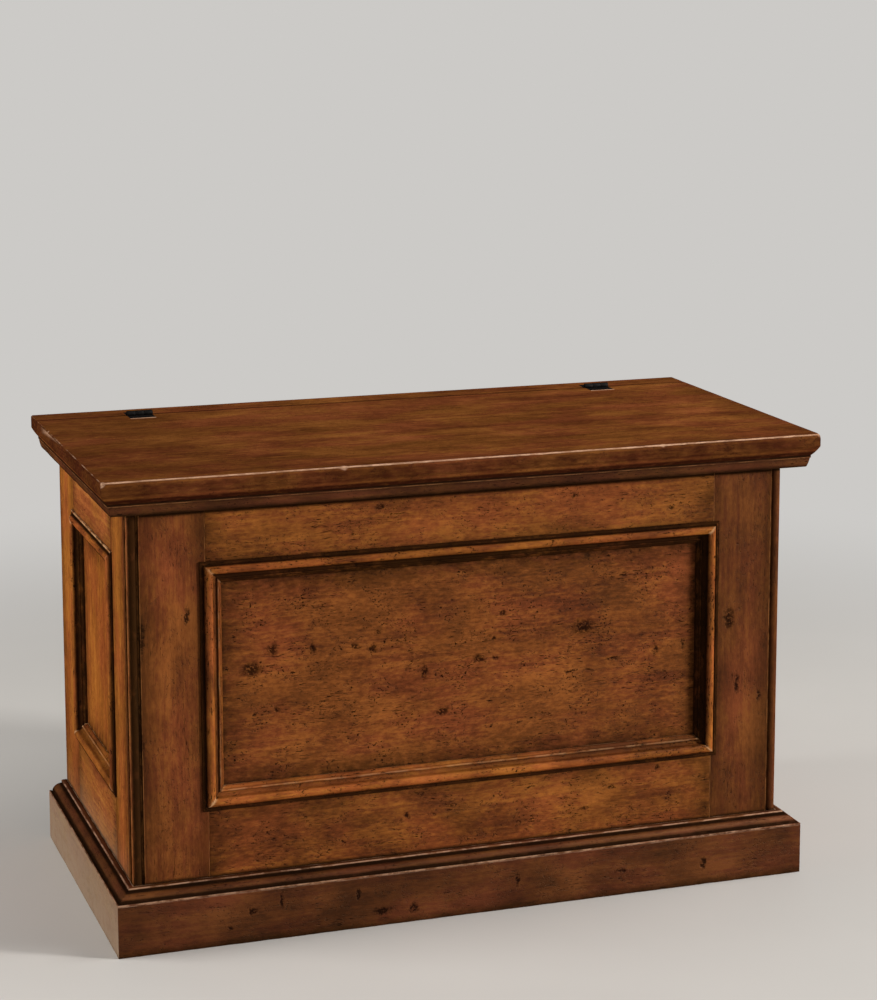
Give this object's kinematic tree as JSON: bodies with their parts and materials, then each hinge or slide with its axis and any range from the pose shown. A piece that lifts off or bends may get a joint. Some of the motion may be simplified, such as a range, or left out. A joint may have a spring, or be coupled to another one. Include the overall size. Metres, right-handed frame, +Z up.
{
  "type": "cassone",
  "caption": "Rectangular wooden chest with framed panels in raised mitred mouldings, a stepped plinth, a cornice and a flat overhanging lid hinged at the back.",
  "frame": {"origin": "on the floor, under the middle of the overall width and depth", "axes": "+X to the right along the front, +Y from the front to the back, +Z up; the front faces -Y"},
  "size_m": [0.976, 0.488, 0.6222],
  "materials": {
    "walnut_frame": "old wax polish, satin",
    "walnut_panel": "old wax polish, satin",
    "walnut_moulding": "old wax polish, worn on the arrises",
    "walnut_lid": "old wax polish, satin",
    "inside_wood": "bare, darkened with age",
    "black_iron": "black, dull"
  },
  "bodies": {
    "chest": {"back_bottom_rail": "inside_wood", "back_left_stile": "inside_wood", "back_panel": "inside_wood", "back_right_stile": "inside_wood", "back_top_rail": "inside_wood", "cornice_front": "walnut_moulding", "cornice_left": "walnut_moulding", "cornice_right": "walnut_moulding", "floor_board_back": "inside_wood", "floor_board_front": "inside_wood", "floor_cleat_back": "inside_wood", "floor_cleat_front": "inside_wood", "floor_cleat_left": "inside_wood", "floor_cleat_right": "inside_wood", "front_bottom_moulding": "walnut_moulding", "front_bottom_rail": "walnut_frame", "front_left_moulding": "walnut_moulding", "front_left_stile": "walnut_frame", "front_panel": "walnut_panel", "front_right_moulding": "walnut_moulding", "front_right_stile": "walnut_frame", "front_top_moulding": "walnut_moulding", "front_top_rail": "walnut_frame", "hinge_fixed_leaf_screws": "black_iron", "left_back_moulding": "walnut_moulding", "left_back_stile": "walnut_frame", "left_bottom_moulding": "walnut_moulding", "left_bottom_rail": "walnut_frame", "left_front_moulding": "walnut_moulding", "left_front_stile": "walnut_frame", "left_hinge_fixed_leaf": "black_iron", "left_hinge_pin": "black_iron", "left_panel": "walnut_panel", "left_top_moulding": "walnut_moulding", "left_top_rail": "walnut_frame", "plinth_front": "walnut_frame", "plinth_left": "walnut_frame", "plinth_moulding_front": "walnut_moulding", "plinth_moulding_left": "walnut_moulding", "plinth_moulding_right": "walnut_moulding", "plinth_right": "walnut_frame", "rear_batten": "walnut_lid", "right_back_moulding": "walnut_moulding", "right_back_stile": "walnut_frame", "right_bottom_moulding": "walnut_moulding", "right_bottom_rail": "walnut_frame", "right_front_moulding": "walnut_moulding", "right_front_stile": "walnut_frame", "right_hinge_fixed_leaf": "black_iron", "right_hinge_pin": "black_iron", "right_panel": "walnut_panel", "right_top_moulding": "walnut_moulding", "right_top_rail": "walnut_frame"},
    "lid": {"lid_board": "walnut_lid", "lid_left_cleat": "inside_wood", "lid_right_cleat": "inside_wood", "lid_cleat_screws": "black_iron", "left_hinge_lid_leaf": "black_iron", "right_hinge_lid_leaf": "black_iron", "hinge_lid_leaf_screws": "black_iron"}
  },
  "joints": [
    {"name": "lid_hinge", "type": "hinge", "parent": "chest", "child": "lid", "pos_m": [0, 0.198, 0.6182], "axis": [-1, 0, 0], "range_deg": [0, 100]}
  ]
}
